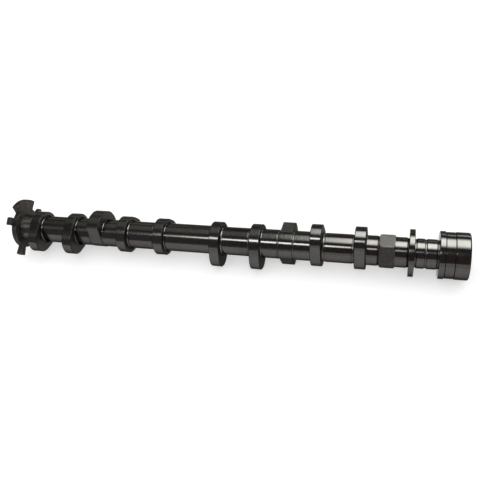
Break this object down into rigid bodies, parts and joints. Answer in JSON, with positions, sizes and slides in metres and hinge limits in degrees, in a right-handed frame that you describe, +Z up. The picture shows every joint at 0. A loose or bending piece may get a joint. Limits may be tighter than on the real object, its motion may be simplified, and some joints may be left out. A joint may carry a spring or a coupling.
{
  "type": "camshaft",
  "caption": "Overhead camshaft with ground lobes, bearing journals, counterweights, a trigger wheel and a drum for the cam drive.",
  "frame": {"origin": "centre of the front end face, on the drum that takes the cam drive, at the mouth of the bolt hole", "axes": "+X along the shaft, out of the front end face; the shaft runs back from there to the trigger wheel. +Z is up, as the shaft lies on the noses of its two middle cylinders' lobes, and the front cylinder's noses point along +Z"},
  "size_m": [0.4617, 0.0597, 0.0534],
  "materials": {
    "camshaft": "ground, turned and lightly oiled"
  },
  "bodies": {
    "root": {"camshaft": "camshaft"}
  },
  "joints": []
}
